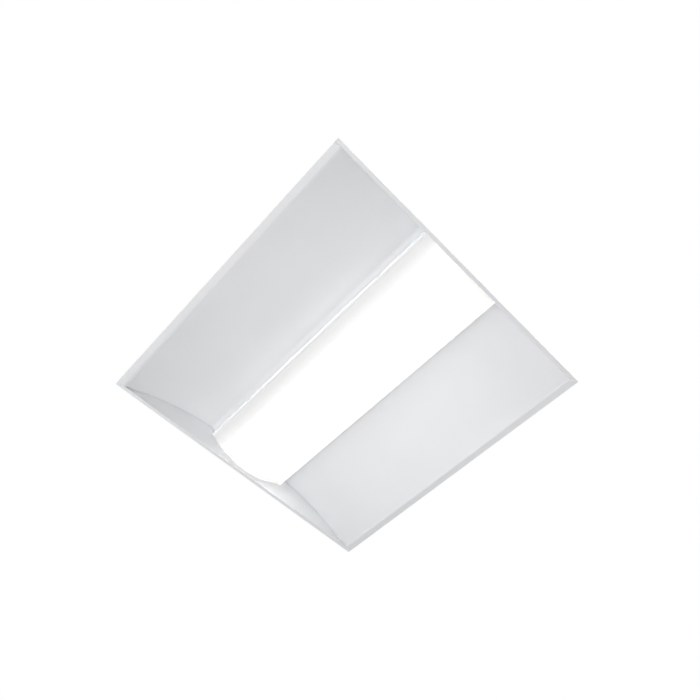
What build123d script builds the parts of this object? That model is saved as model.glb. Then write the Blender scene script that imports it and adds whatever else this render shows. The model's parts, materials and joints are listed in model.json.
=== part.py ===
from build123d import *
from math import asin, atan2, cos, degrees, hypot, pi, sin, sqrt, tan
import os

# Recessed troffer light, 24 inch ceiling module. Millimetres.
# X runs across the lens, Y along it, Z up into the ceiling. The origin is the
# middle of the face that rests on the ceiling grid.

# ---- Face and housing ----
face_width = 603.25  # over the side flanges
face_length = 603.25  # over the end flanges
housing_sheet = 0.9
side_flange = 12.0
wall_rise = 14.0  # upright foot of each side wall
wall_lean = 27.6  # how far the side wall leans in above its foot
bend_radius = 1.1

bead_width = 14.0  # stiffening beads pressed up in the pan
bead_rise = 2.4
bead_taper = 35.0
bead_corner = 4.0
bead_margin = 30.0  # bead end to the pan's edge
bead_end_gap = 63.0  # outer bead to the pan's end
bead_access_gap = 30.4518  # inner bead to the access plate
bead_count = 2  # towards each end

# ---- End plates ----
end_sheet = 0.9
end_flange = 7.0
end_hem = 3.4  # flange folded back on itself as far as the wall's foot
end_hem_rise = 2.1
end_foot_bend = 0.5
end_lean = 5.7  # degrees that each end wall leans in
end_seam = 0.6  # open seam between the housing and each end plate
top_return = 11.6  # flange turned over the pan
top_return_bend = 0.5
plate_side_inset = 0.4  # end plate stops this far inside the housing's outer face

# ---- Wings ----
wing_sheet = 0.8
wing_radius = 490.0
wing_border = 3.5  # straight strip along the outer edge
wing_border_z = 1.4  # where the strip meets the arc
wing_hem_z = 11.5  # top of the leg riveted to the side wall
wing_hem_bend = 1.1
wing_side_gap = 0.1
wing_end_gap = 0.3
wing_roll_radius = 10.6
wing_lip_z = 45.7
lens_opening = 182.0  # between the two rolled lips

# ---- Lamp tray ----
tray_sheet = 0.9
tray_leg_height = 22.5  # underside of the web above the leg's end
tray_bend = 1.2
tray_leg_lift = 0.1  # leg ends this far above the wing's lip
tray_end_gap = 0.1
tray_tab_width = 40.0
tray_tab_height = 15.0
tray_tab_x = 50.0
tray_screw_rise = 9.0  # above the web's top

# ---- Lens door ----
lens_radius = 162.0  # outer face
lens_thickness = 2.0
lens_end_gap = 1.0
rail_radius = 3.0
rail_inset = 2.8  # rail centre inside the lip's face
rail_drop = 5.7  # rail centre below the lip's edge
rail_slot_gap = 0.1
rail_solid_end = 18.0  # rail left whole round the hinge pin
hinge_pin_radius = 1.5
hinge_pin_seat = 15.0
hinge_pin_overrun = 1.5
hinge_running_gap = 0.05
pin_seat_gap = 0.02

strike_thickness = 0.8
strike_width = 10.0
strike_corner = 2.5
strike_offset = 1.4  # strike's outer face to the tray leg
strike_height = 11.0  # above the rail
strike_seat = 1.5
strike_seat_gap = 0.05
catch_inset = 114.6  # catch to the end plate

# ---- Catch clips ----
clip_sheet = 0.4
clip_width = 14.0
clip_bend = 0.8
clip_top_drop = 4.0  # below the tray's web
clip_leaf_rise = 2.5  # above the end of the tray's leg
clip_mouth_rise = 2.0
clip_grip_gap = 0.3
clip_flare_out = 2.0
clip_flare_drop = 3.5
clip_rivet_drop = 4.0  # below the clip's top
clip_rivet_radius = 1.2
clip_rivet_head_radius = 2.0
clip_rivet_head = 0.8

# ---- Lamp boards ----
board_end_gap = 11.0  # board to the tray's end
board_width = 24.0
board_thickness = 1.6
board_x = 38.0
emitter_pitch = 20.0
emitter_size = 3.0
emitter_height = 0.8
emitter_end_margin = 20.0
board_rivet_x = 8.0  # from the board's centre line
board_rivet_count = 5
board_rivet_margin = 30.0
board_rivet_radius = 1.5
board_rivet_head_radius = 2.6
board_rivet_head = 1.0
board_rivet_tail = 1.2
connector_length = 10.0
connector_width = 9.0
connector_height = 5.0
connector_lip = 0.8

# ---- Driver ----
driver_length = 300.0
driver_width = 34.0
driver_height = 28.0
driver_clearance = 3.9  # above the wings' rolled lips
driver_tray_gap = 16.8  # driver's side to the tray
driver_y = -30.0
driver_edge = 2.0
driver_foot_length = 14.0
driver_foot_sheet = 1.0
driver_foot_corner = 4.0
driver_seam_width = 1.0
driver_seam_depth = 0.4
driver_seam_inset = 8.0

# ---- Supply terminal block ----
block_length = 60.0
block_width = 17.0
block_height = 20.0
block_gap = 7.5  # from the driver's side
block_port_radius = 1.9
block_port_depth = 9.0
block_button_width = 3.2
block_button_length = 7.0
block_button_proud = 0.8
block_button_y = 6.0
block_screw_inset = 9.0
block_screw_reach = 6.0  # into the block
ground_screw_gap = 11.4  # from the block's end

# ---- Access opening and plate ----
access_length = 120.0
access_block_gap = 6.525  # opening to the terminal block's side
access_margin = 10.0  # opening to the pan's edge
access_lap = 10.0
access_corner = 4.0
access_sheet = 0.9
access_screw_inset = 5.0
knockout_radius = 11.1
knockout_pitch = 38.0
knockout_score_width = 0.6
knockout_score_depth = 0.4
knockout_score_sides = 24

# ---- Leads ----
lead_diameter = 2.2
lead_pitch = 5.0
lead_count = 3
lead_turn_y = 30.0  # past the driver's end
lead_drop = 10.1  # below the pan
lamp_lead_pitch = 12.0
lead_bend_share = 0.45
lead_sides = 6
grommet_bore_gap = 1.6
grommet_wall = 1.4
grommet_lip = 1.2
grommet_lip_height = 1.0
grommet_reach = 16.0  # lead's last run to the connector

# ---- Grid arms ----
arm_z = 42.0  # top of the ledge, above the bulb of a 38 mm grid tee
ledge_depth = 6.0
ledge_length = 44.0
ledge_inset = 17.5  # ledge's middle inside the arm's pivot
window_overrun = 5.5  # past the arm's pivot
window_gap = 1.5  # past the arm's tip
arm_length = 45.0
arm_width = 5.0
arm_thickness = 1.5
arm_plate_gap = 0.3
arm_rest_gap = 0.05
arm_pivot_inset = 39.6  # inside the side wall's foot
arm_nib = 3.0  # turned-up finger tab
arm_rivet_radius = 1.6
arm_rivet_gap = 0.05
arm_rivet_head_radius = 2.4
arm_rivet_head = 1.0

# ---- Fasteners ----
shank_sides = 6  # flats that stand in for a small round
head_sides = 10
screw_head_taper = 12.0
rivet_head_taper = 35.0
screw_radius = 1.9
screw_hole_gap = 0.2
screw_thread_gap = 0.05
screw_head_radius = 3.8
screw_head_height = 2.0
screw_slot_width = 0.9
screw_slot_depth = 0.8
screw_overrun = 4.0
wing_rivet_count = 4
wing_rivet_margin = 44.0
wing_rivet_z = 7.0
wing_rivet_radius = 1.6
wing_rivet_head_radius = 3.0
wing_rivet_head = 1.0
wing_rivet_tail_radius = 2.4
wing_rivet_tail = 1.2
end_screw_count = 4
end_screw_margin = 45.0  # outer screw to the hanger hole
hanger_hole_radius = 2.4
hanger_inset = 27.0  # hanger hole to the pan's edge
rivet_hole_gap = 0.05

# ---- Sizes that follow ----
driver_bottom = wing_lip_z + wing_roll_radius + wing_sheet + driver_clearance
pan_z = driver_bottom + driver_height
housing_height = pan_z + housing_sheet
wall_x = face_width / 2 - side_flange
pan_x = wall_x - wall_lean
end_y = face_length / 2 - end_flange
lean_slope = tan(end_lean * pi / 180)
end_sheet_run = end_sheet * hypot(1, lean_slope)


def end_wall_y(height):
    """Where the leaning end wall's inner face stands at a height."""
    return end_y + end_hem - height * lean_slope


return_outer_y = end_wall_y(housing_height)
return_y = return_outer_y - top_return
return_mid_y = return_outer_y - top_return / 2
return_top = housing_height + end_sheet
bead_outer_y = return_outer_y - end_seam - bead_end_gap
hanger_x = pan_x - hanger_inset
end_screw_span = 2 * (hanger_x - end_screw_margin)

lip_x = lens_opening / 2
roll_x = lip_x + wing_roll_radius
wing_edge_x = wall_x - wing_side_gap
wing_end = end_y - wing_end_gap
border_x = wing_edge_x - wing_border
wing_rivet_span = 2 * (wing_end - wing_rivet_margin)

tray_outer_x = lip_x - wing_sheet
tray_inner_x = tray_outer_x - tray_sheet
tray_leg_z = wing_lip_z + tray_leg_lift
tray_web_z = tray_leg_z + tray_leg_height
tray_top = tray_web_z + tray_sheet
tray_end = end_wall_y(tray_top) - tray_end_gap
tray_screw_z = tray_top + tray_screw_rise

rail_x = lip_x - rail_inset
rail_z = wing_lip_z - rail_drop
lens_mid_radius = lens_radius - lens_thickness / 2
lens_centre_z = rail_z + sqrt(lens_mid_radius**2 - rail_x**2)
lens_edge_angle = degrees(asin(rail_x / lens_mid_radius))
lens_end = end_wall_y(rail_z) - lens_end_gap  # at the rails

catch_y = end_y - catch_inset
strike_x = -tray_inner_x + strike_offset
clip_top_z = tray_web_z - clip_top_drop
clip_leaf_z = tray_leg_z + clip_leaf_rise
clip_mouth_z = clip_leaf_z + clip_mouth_rise
clip_rivet_z = clip_top_z - clip_rivet_drop
board_length = 2 * (tray_end - board_end_gap)
board_rivet_span = board_length - 2 * board_rivet_margin
board_z = tray_web_z - board_thickness
driver_end = driver_length / 2
driver_x = tray_outer_x + driver_tray_gap + driver_width / 2
block_x = driver_x + driver_width / 2 + block_gap + block_width / 2
connector_x = board_width / 2 - connector_width / 2
lead_z = pan_z - lead_drop
lamp_lead_z = board_z - connector_height / 2
lead_radius = lead_diameter / 2
grommet_bore = lead_radius + grommet_bore_gap
grommet_radius = grommet_bore + grommet_wall

arm_pivot_x = wall_x - arm_pivot_inset
ledge_x = arm_pivot_x - ledge_inset
arm_bottom = arm_z + arm_rest_gap
arm_top = arm_bottom + arm_thickness + arm_nib
arm_y = end_wall_y(arm_top) - arm_plate_gap - arm_width / 2
window_length = arm_length + window_overrun + window_gap
window_x = arm_pivot_x + window_overrun - window_length / 2
screw_hole = screw_radius + screw_hole_gap
thread_hole = screw_radius + screw_thread_gap
wing_rivet_hole = wing_rivet_radius + rivet_hole_gap
board_rivet_hole = board_rivet_radius + rivet_hole_gap
clip_rivet_hole = clip_rivet_radius + rivet_hole_gap

access_width = pan_x - access_margin - access_block_gap - block_width / 2 - block_x
access_x = pan_x - access_margin - access_width / 2
access_screws_x = access_width / 2 + access_screw_inset
access_screws_y = access_length / 2 + access_screw_inset
bead_inner_y = access_length / 2 + access_lap + bead_access_gap
bead_pitch = (bead_outer_y - bead_inner_y) / max(bead_count - 1, 1)

low = (Align.CENTER, Align.CENTER, Align.MIN)
high = (Align.CENTER, Align.CENTER, Align.MAX)


def evenly(count, span):
    """Evenly spaced places along a span centred on zero."""
    return [span * (place / (count - 1) - 0.5) for place in range(count)]


def circle_crossing(first, first_radius, second, second_radius):
    """The lower of the two points that lie at given distances from two centres."""
    across = second[0] - first[0]
    along = second[1] - first[1]
    distance = hypot(across, along)
    reach = (first_radius**2 - second_radius**2 + distance**2) / (2 * distance)
    rise = sqrt(first_radius**2 - reach**2)
    foot_x = first[0] + reach * across / distance
    foot_z = first[1] + reach * along / distance
    options = [
        (foot_x + turn * rise * along / distance, foot_z - turn * rise * across / distance)
        for turn in (-1, 1)
    ]
    return min(options, key=lambda point: point[1])


def facing(points, direction):
    """A plane on each point, its normal along the direction."""
    return [Plane(origin=point, z_dir=direction) for point in points]


def studs(planes, radius, sides, start, height, taper=0, mode=Mode.ADD):
    """Round studs with flat-sided walls, from a start height along each plane's normal."""
    for plane in planes:
        with BuildSketch(plane.offset(start)) as section:
            RegularPolygon(radius, sides)
        extrude(section.sketch, amount=height, taper=taper, mode=mode)


def screws(planes, grip):
    """Slotted pan-head screws, each head seated on its plane."""
    studs(planes, screw_radius, shank_sides, -grip, grip)
    studs(planes, screw_head_radius, head_sides, 0, screw_head_height, screw_head_taper)
    with Locations(*planes):
        with Locations((0, 0, screw_head_height)):
            Box(
                2 * screw_head_radius,
                screw_slot_width,
                screw_slot_depth,
                align=high,
                mode=Mode.SUBTRACT,
            )


def rivets(planes, shank, head_radius, head, grip, tail_radius, tail):
    """Blind rivets: a coned head on each plane and an upset tail behind the grip."""
    studs(planes, shank, shank_sides, -grip, grip)
    studs(planes, head_radius, head_sides, 0, head, rivet_head_taper)
    studs(planes, tail_radius, shank_sides, -grip - tail, tail)


def fastener_holes(planes, radius, depth):
    """Clearance or thread holes for screws and rivets, cut both ways from each plane."""
    studs(planes, radius, shank_sides, -depth, 2 * depth, mode=Mode.SUBTRACT)


def holes(planes, radius, depth):
    """Round holes cut both ways from each plane."""
    with Locations(*planes):
        Cylinder(radius, 2 * depth, mode=Mode.SUBTRACT)


def trim_ends(gap):
    """Cuts both ends of a piece back from the end plates' hemmed feet and leaning walls."""
    step_z = end_hem_rise + gap
    top_z = 2 * housing_height
    with BuildSketch(Plane.YZ) as beyond:
        with BuildLine():
            Polyline(
                (end_y - gap, -step_z),
                (end_y - gap, step_z),
                (end_wall_y(step_z) - gap, step_z),
                (end_wall_y(top_z) - gap, top_z),
                (face_length, top_z),
                (face_length, -step_z),
                close=True,
            )
        make_face()
        mirror(about=Plane.YZ)
    extrude(beyond.sketch, amount=face_width, both=True, mode=Mode.SUBTRACT)


def bend_radii(points):
    """The largest even bends of a lead's route, one for each corner."""
    runs = [(Vector(*b) - Vector(*a)) for a, b in zip(points, points[1:])]
    radii = []
    for before, after in zip(runs, runs[1:]):
        half_turn = before.get_angle(after) / 2 * pi / 180
        radii.append(lead_bend_share * min(before.length, after.length) / tan(half_turn))
    return radii


def lead(points):
    """One insulated lead along its route."""
    with BuildLine() as route:
        FilletPolyline(*points, radius=bend_radii(points))
    with BuildSketch(Plane(origin=route.line @ 0, z_dir=route.line % 0)) as section:
        RegularPolygon(lead_radius, lead_sides)
    sweep(section.sketch, path=route.line)


# ---- Where things are fastened ----
up = (0, 0, 1)
down = (0, 0, -1)
end_screw_points = [
    (x, side * return_mid_y, return_top)
    for x in evenly(end_screw_count, end_screw_span)
    for side in (-1, 1)
]
hanger_points = [
    (side * hanger_x, end * return_mid_y, return_top) for side in (-1, 1) for end in (-1, 1)
]
access_screw_points = [
    (access_x + side * access_screws_x, end * access_screws_y, housing_height + access_sheet)
    for side in (-1, 1)
    for end in (-1, 1)
]
driver_screw_points = [
    (driver_x, driver_y + end * (driver_end + driver_foot_length / 2), pan_z - driver_foot_sheet)
    for end in (-1, 1)
]
block_screw_points = [
    (block_x, end * (block_length / 2 - block_screw_inset), housing_height) for end in (-1, 1)
]
ground_screw_point = (block_x, block_length / 2 + ground_screw_gap, pan_z)
wing_rivet_points = [
    (side * (wall_x + housing_sheet), y, wing_rivet_z)
    for side in (-1, 1)
    for y in evenly(wing_rivet_count, wing_rivet_span)
]
tray_screw_planes = [
    Plane(
        origin=(side * tray_tab_x, end * (end_wall_y(tray_screw_z) + end_sheet_run), tray_screw_z),
        z_dir=(0, end, lean_slope),
    )
    for side in (-1, 1)
    for end in (-1, 1)
]
board_rivet_points = [
    (side * board_x + board_rivet_x, y, board_z)
    for side in (-1, 1)
    for y in evenly(board_rivet_count, board_rivet_span)
]
clip_rivet_points = [
    (-tray_inner_x + clip_sheet, end * catch_y, clip_rivet_z) for end in (-1, 1)
]
arm_pivots = [(side * arm_pivot_x, end * arm_y) for side in (-1, 1) for end in (-1, 1)]


# ---- Housing: one folded sheet, flange to flange ----
with BuildPart() as housing:
    with BuildSketch(Plane.XZ):
        with BuildLine():
            FilletPolyline(
                (-face_width / 2, 0),
                (-wall_x, 0),
                (-wall_x, wall_rise),
                (-pan_x, pan_z),
                (pan_x, pan_z),
                (wall_x, wall_rise),
                (wall_x, 0),
                (face_width / 2, 0),
                radius=bend_radius,
            )
            offset(amount=housing_sheet, side=Side.LEFT)
        make_face()
    extrude(amount=face_length / 2, both=True)
    trim_ends(end_seam)
    bead_length = 2 * (pan_x - bead_margin)
    bead_places = [
        (0, end * (bead_outer_y - bead_pitch * place)) for end in (-1, 1) for place in range(bead_count)
    ]
    for edge_x, rise, mode in (
        (housing_sheet, bead_rise + housing_sheet, Mode.ADD),
        (0, bead_rise, Mode.SUBTRACT),
    ):
        with BuildSketch(Plane.XY.offset(pan_z)) as bead:
            with Locations(*bead_places):
                Rectangle(bead_length + 2 * edge_x, bead_width + 2 * edge_x)
            chamfer(bead.vertices(), bead_corner)
        extrude(amount=rise, taper=bead_taper, mode=mode)
    with BuildSketch(Plane.XY.offset(pan_z)):
        with Locations((access_x, 0)):
            RectangleRounded(access_width, access_length, access_corner)
    extrude(amount=housing_sheet, mode=Mode.SUBTRACT)
    fastener_holes(facing(end_screw_points, up), thread_hole, 2 * end_sheet)
    fastener_holes(facing(access_screw_points, up), thread_hole, 2 * access_sheet)
    holes(facing(hanger_points, up), hanger_hole_radius, 2 * end_sheet)
    fastener_holes(facing(driver_screw_points, up), thread_hole, 2 * housing_sheet + driver_foot_sheet)
    fastener_holes(facing(block_screw_points, up), screw_hole, 2 * housing_sheet)
    fastener_holes(facing([ground_screw_point], up), thread_hole, 2 * housing_sheet)
    fastener_holes(facing(wing_rivet_points, (1, 0, 0)), wing_rivet_hole, 2 * housing_sheet)
housing.part.label = "housing"

# ---- End plate: hemmed ceiling flange, leaning wall and a return over the pan ----
plate_foot_x = wall_x + housing_sheet - plate_side_inset
plate_top_x = pan_x + housing_sheet - plate_side_inset
hem_nose = end_hem_rise / 2
with BuildPart() as end_plate_rear:
    with BuildSketch(Plane.YZ):
        with BuildLine():
            FilletPolyline(
                (end_y + hem_nose, end_hem_rise),
                (end_wall_y(end_hem_rise), end_hem_rise),
                (return_outer_y, housing_height),
                (return_y, housing_height),
                radius=[end_foot_bend, top_return_bend],
            )
            offset(amount=end_sheet, side=Side.RIGHT)
        make_face()
        with Locations((end_y + hem_nose, hem_nose)):
            Circle(hem_nose)
        with Locations((end_y + hem_nose, 0)):
            Rectangle(end_flange - hem_nose, end_sheet, align=(Align.MIN, Align.MIN))
        with Locations((end_y + hem_nose, hem_nose)):
            Circle(hem_nose - end_sheet, mode=Mode.SUBTRACT)
            Rectangle(
                end_flange,
                end_hem_rise - 2 * end_sheet,
                align=(Align.MIN, Align.CENTER),
                mode=Mode.SUBTRACT,
            )
    extrude(amount=face_width / 2, both=True)
    with BuildSketch(Plane.XZ.offset(-return_y + end_sheet)):
        with BuildLine():
            Polyline(
                (plate_foot_x, end_hem_rise + end_seam),
                (plate_foot_x, wall_rise),
                (plate_top_x, housing_height),
                (plate_top_x, return_top + end_sheet),
                (face_width, return_top + end_sheet),
                (face_width, end_hem_rise + end_seam),
                close=True,
            )
        make_face()
        mirror(about=Plane.YZ)
    extrude(amount=return_y - end_sheet - face_length / 2, mode=Mode.SUBTRACT)
    wall_at_ledge = end_wall_y(arm_z)
    with Locations(*[(side * window_x, wall_at_ledge, arm_z) for side in (-1, 1)]):
        Box(window_length, 4 * end_sheet, ledge_depth, align=low, mode=Mode.SUBTRACT)
    with Locations(*[(side * ledge_x, wall_at_ledge + end_sheet, arm_z) for side in (-1, 1)]):
        Box(
            ledge_length,
            end_sheet + ledge_depth,
            end_sheet,
            align=(Align.CENTER, Align.MAX, Align.MAX),
        )
    rear_pivots = [(x, y, arm_z) for x, y in arm_pivots if y > 0]
    fastener_holes(facing(rear_pivots, up), arm_rivet_radius, end_sheet)
    fastener_holes(facing(end_screw_points, up), screw_hole, 2 * end_sheet)
    holes(facing(hanger_points, up), hanger_hole_radius, 2 * end_sheet)
    fastener_holes(tray_screw_planes, screw_hole, 2 * end_sheet)
    hinge_hole = [(rail_x, end_wall_y(rail_z), rail_z)]
    holes(facing(hinge_hole, (0, 1, 0)), hinge_pin_radius + hinge_running_gap, 2 * end_sheet)
end_plate_rear.part.label = "end_plate_rear"

with BuildPart() as end_plate_front:
    mirror(end_plate_rear.part, about=Plane.XZ)
end_plate_front.part.label = "end_plate_front"

# ---- Wings: riveted leg, straight edge strip, long arc and rolled lip ----
wing_centre = circle_crossing(
    (roll_x, wing_lip_z),
    wing_radius - wing_roll_radius,
    (border_x, wing_border_z),
    wing_radius,
)
arc_start = degrees(atan2(wing_border_z - wing_centre[1], border_x - wing_centre[0]))
arc_end = degrees(atan2(wing_lip_z - wing_centre[1], roll_x - wing_centre[0]))
strip_corner_z = wing_border_z - wing_border / tan(arc_start * pi / 180)
with BuildPart() as wing_right:
    with BuildSketch(Plane.XZ):
        with BuildLine():
            FilletPolyline(
                (wing_edge_x, wing_hem_z),
                (wing_edge_x, strip_corner_z),
                (border_x, wing_border_z),
                radius=wing_hem_bend,
            )
            CenterArc(wing_centre, wing_radius, arc_start, arc_end - arc_start)
            CenterArc((roll_x, wing_lip_z), wing_roll_radius, arc_end, 180 - arc_end)
            offset(amount=wing_sheet, side=Side.RIGHT)
        make_face()
    extrude(amount=face_length / 2, both=True)
    trim_ends(wing_end_gap)
    fastener_holes(facing(wing_rivet_points, (1, 0, 0)), wing_rivet_hole, 3 * wing_sheet)
wing_right.part.label = "wing_right"

with BuildPart() as wing_left:
    mirror(wing_right.part, about=Plane.YZ)
wing_left.part.label = "wing_left"

# ---- Lamp tray: a channel hung between the end plates ----
right_grommet_x = board_x + board_width / 2 + grommet_reach
left_grommet_x = -board_x + board_width / 2 + grommet_reach
right_lead_y = driver_y + driver_end + lead_turn_y
left_lead_y = right_lead_y + lamp_lead_pitch
grommet_points = [
    (right_grommet_x, right_lead_y, tray_web_z),
    (left_grommet_x, left_lead_y, tray_web_z),
]
with BuildPart() as led_tray:
    with BuildSketch(Plane.XZ):
        with BuildLine():
            FilletPolyline(
                (-tray_inner_x, tray_leg_z),
                (-tray_inner_x, tray_web_z),
                (tray_inner_x, tray_web_z),
                (tray_inner_x, tray_leg_z),
                radius=tray_bend,
            )
            offset(amount=tray_sheet, side=Side.LEFT)
        make_face()
    extrude(amount=face_length / 2, both=True)
    trim_ends(tray_end_gap)
    tab_y = end_wall_y(tray_web_z) - tray_end_gap
    for end, inward in ((-1, Align.MIN), (1, Align.MAX)):
        tab_planes = [
            Plane(
                origin=(side * tray_tab_x, end * tab_y, tray_web_z),
                x_dir=(1, 0, 0),
                z_dir=(0, -end * lean_slope, 1),
            )
            for side in (-1, 1)
        ]
        with Locations(*tab_planes):
            Box(
                tray_tab_width,
                tray_sheet,
                tray_tab_height + tray_sheet,
                align=(Align.CENTER, inward, Align.MIN),
            )
    fastener_holes(tray_screw_planes, thread_hole, 3 * tray_sheet)
    fastener_holes(facing(board_rivet_points, up), board_rivet_hole, 2 * board_thickness)
    fastener_holes(facing(clip_rivet_points, (1, 0, 0)), clip_rivet_hole, 2 * tray_sheet)
    studs(
        facing(grommet_points, up),
        grommet_radius,
        head_sides,
        0,
        tray_sheet,
        mode=Mode.SUBTRACT,
    )
led_tray.part.label = "led_tray"

# ---- Lamp boards, their emitters and connectors ----
lamp_boards = {}
for side, name in ((-1, "left"), (1, "right")):
    with BuildPart() as board:
        with BuildSketch(Plane.XY.offset(board_z)):
            with Locations((side * board_x, 0)):
                Rectangle(board_width, board_length)
        extrude(amount=board_thickness)
        fastener_holes(facing(board_rivet_points, up), board_rivet_hole, 2 * board_thickness)
    board.part.label = f"led_board_{name}"
    lamp_boards[name] = board.part

emitter_count = int((board_length - 2 * emitter_end_margin) / emitter_pitch) + 1
with BuildPart() as led_emitters:
    with Locations(*[(side * board_x, 0, board_z) for side in (-1, 1)]):
        with GridLocations(0, emitter_pitch, 1, emitter_count):
            Box(emitter_size, emitter_size, emitter_height, align=high)
led_emitters.part.label = "led_emitters"

connector_points = [
    (board_x + connector_x, right_lead_y, board_z),
    (-board_x + connector_x, left_lead_y, board_z),
]
with BuildPart() as board_connectors:
    with Locations(*connector_points):
        Box(connector_width, connector_length, connector_height, align=high)
    with Locations(*[(x - connector_lip, y, z - connector_height) for x, y, z in connector_points]):
        Box(
            connector_width,
            connector_length - 2 * connector_lip,
            connector_lip,
            align=low,
            mode=Mode.SUBTRACT,
        )
board_connectors.part.label = "board_connectors"

with BuildPart() as board_rivets:
    rivets(
        facing(board_rivet_points, down),
        board_rivet_radius,
        board_rivet_head_radius,
        board_rivet_head,
        board_thickness + tray_sheet,
        board_rivet_head_radius,
        board_rivet_tail,
    )
board_rivets.part.label = "board_rivets"

# ---- Driver: a folded can with a foot at each end ----
with BuildPart() as driver:
    with BuildSketch(Plane.XY.offset(driver_bottom)):
        with Locations((driver_x, driver_y)):
            Rectangle(driver_width, driver_length)
    extrude(amount=driver_height)
    fillet(driver.edges().filter_by(Axis.Y), driver_edge)
    with Locations((driver_x, driver_y, driver_bottom)):
        with Locations(*[(0, end * (driver_end - driver_seam_inset), 0) for end in (-1, 1)]):
            Box(driver_width, driver_seam_width, driver_seam_depth, align=low, mode=Mode.SUBTRACT)
    with BuildSketch(Plane.XY.offset(pan_z)):
        with Locations((driver_x, driver_y)):
            RectangleRounded(
                driver_width - 2 * driver_foot_corner,
                driver_length + 2 * driver_foot_length,
                driver_foot_corner,
            )
    extrude(amount=-driver_foot_sheet)
    fastener_holes(facing(driver_screw_points, up), screw_hole, 2 * driver_foot_sheet)
driver.part.label = "driver"

with BuildPart() as driver_screws:
    screws(facing(driver_screw_points, down), driver_foot_sheet + housing_sheet + screw_overrun / 2)
driver_screws.part.label = "driver_screws"

# ---- Supply terminal block ----
lead_places = [lead_pitch * (place - (lead_count - 1) / 2) for place in range(lead_count)]
with BuildPart() as terminal_block:
    with Locations((block_x, 0, pan_z)):
        Box(block_width, block_length, block_height, align=high)
    for end in (-1, 1):
        ports = [(block_x + x, end * block_length / 2, lead_z) for x in lead_places]
        fastener_holes(facing(ports, (0, 1, 0)), block_port_radius, block_port_depth)
        buttons = [
            (block_x + x, end * (block_length / 2 - block_button_y), pan_z - block_height)
            for x in lead_places
        ]
        with Locations(*buttons):
            Box(block_button_width, block_button_length, block_button_proud, align=high)
    fastener_holes(
        facing(block_screw_points, up),
        thread_hole,
        housing_sheet + block_screw_reach + screw_overrun,
    )
terminal_block.part.label = "terminal_block"

with BuildPart() as terminal_block_screws:
    screws(facing(block_screw_points, up), housing_sheet + block_screw_reach)
terminal_block_screws.part.label = "terminal_block_screws"

with BuildPart() as ground_screw:
    screws(facing([ground_screw_point], down), housing_sheet + screw_overrun / 2)
ground_screw.part.label = "ground_screw"

# ---- Leads ----
driver_supply_end = driver_y - driver_end
with BuildPart() as supply_leads:
    for place in lead_places:
        turn_y = driver_supply_end - lead_turn_y + place
        lead(
            [
                (driver_x + place, driver_supply_end, lead_z),
                (driver_x + place, turn_y, lead_z),
                (block_x - place, turn_y, lead_z),
                (block_x - place, -block_length / 2 + block_port_depth, lead_z),
            ]
        )
supply_leads.part.label = "supply_leads"

driver_lamp_end = driver_y + driver_end
with BuildPart() as lamp_leads:
    for start_x, turn_y, drop_x in (
        (driver_x - lamp_lead_pitch / 2, right_lead_y, right_grommet_x),
        (driver_x + lamp_lead_pitch / 2, left_lead_y, left_grommet_x),
    ):
        lead(
            [
                (start_x, driver_lamp_end, lead_z),
                (start_x, turn_y, lead_z),
                (drop_x, turn_y, lead_z),
                (drop_x, turn_y, lamp_lead_z),
                (drop_x - grommet_reach, turn_y, lamp_lead_z),
            ]
        )
lamp_leads.part.label = "lamp_leads"

with BuildPart() as lead_grommets:
    collars = facing(grommet_points, up)
    studs(collars, grommet_radius, head_sides, 0, tray_sheet)
    for lip_start in (-grommet_lip_height, tray_sheet):
        studs(collars, grommet_radius + grommet_lip, head_sides, lip_start, grommet_lip_height)
    studs(
        collars,
        grommet_bore,
        head_sides,
        -grommet_lip_height,
        tray_sheet + 2 * grommet_lip_height,
        mode=Mode.SUBTRACT,
    )
lead_grommets.part.label = "lead_grommets"

# ---- Access plate over the wiring opening ----
with BuildPart() as access_plate:
    with BuildSketch(Plane.XY.offset(housing_height)):
        with Locations((access_x, 0)):
            RectangleRounded(
                access_width + 2 * access_lap, access_length + 2 * access_lap, access_corner
            )
            Circle(knockout_radius, mode=Mode.SUBTRACT)
    extrude(amount=access_sheet)
    fastener_holes(facing(access_screw_points, up), screw_hole, 2 * access_sheet)
    with BuildSketch(Plane.XY.offset(housing_height + access_sheet)):
        with Locations(*[(access_x, end * knockout_pitch) for end in (-1, 1)]):
            RegularPolygon(knockout_radius + knockout_score_width, knockout_score_sides)
            RegularPolygon(knockout_radius, knockout_score_sides, mode=Mode.SUBTRACT)
    extrude(amount=-knockout_score_depth, mode=Mode.SUBTRACT)
access_plate.part.label = "access_plate"

with BuildPart() as access_plate_screws:
    screws(facing(access_screw_points, up), access_sheet + housing_sheet + screw_overrun)
access_plate_screws.part.label = "access_plate_screws"

# ---- Lens door: bowed lens, two edge rails, hinge pins and strikes ----
with BuildPart() as lens:
    with BuildSketch(Plane.XZ):
        with BuildLine():
            CenterArc(
                (0, lens_centre_z),
                lens_mid_radius + lens_thickness / 2,
                270 - lens_edge_angle,
                2 * lens_edge_angle,
            )
            CenterArc(
                (0, lens_centre_z),
                lens_mid_radius - lens_thickness / 2,
                270 - lens_edge_angle,
                2 * lens_edge_angle,
            )
            for side in (-1, 1):
                edge = side * sin(lens_edge_angle * pi / 180)
                fall = cos(lens_edge_angle * pi / 180)
                Line(
                    (edge * lens_radius, lens_centre_z - fall * lens_radius),
                    (
                        edge * (lens_radius - lens_thickness),
                        lens_centre_z - fall * (lens_radius - lens_thickness),
                    ),
                )
        make_face()
    extrude(amount=end_y - lens_end_gap, both=True)
    trim_ends(lens_end_gap)
    corners = [(side * rail_x, end * lens_end, rail_z) for side in (-1, 1) for end in (-1, 1)]
    with Locations(*facing(corners, (0, 1, 0))):
        Cylinder(
            rail_radius + rail_slot_gap,
            2 * (rail_solid_end + rail_slot_gap),
            mode=Mode.SUBTRACT,
        )
lens.part.label = "lens"

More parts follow.
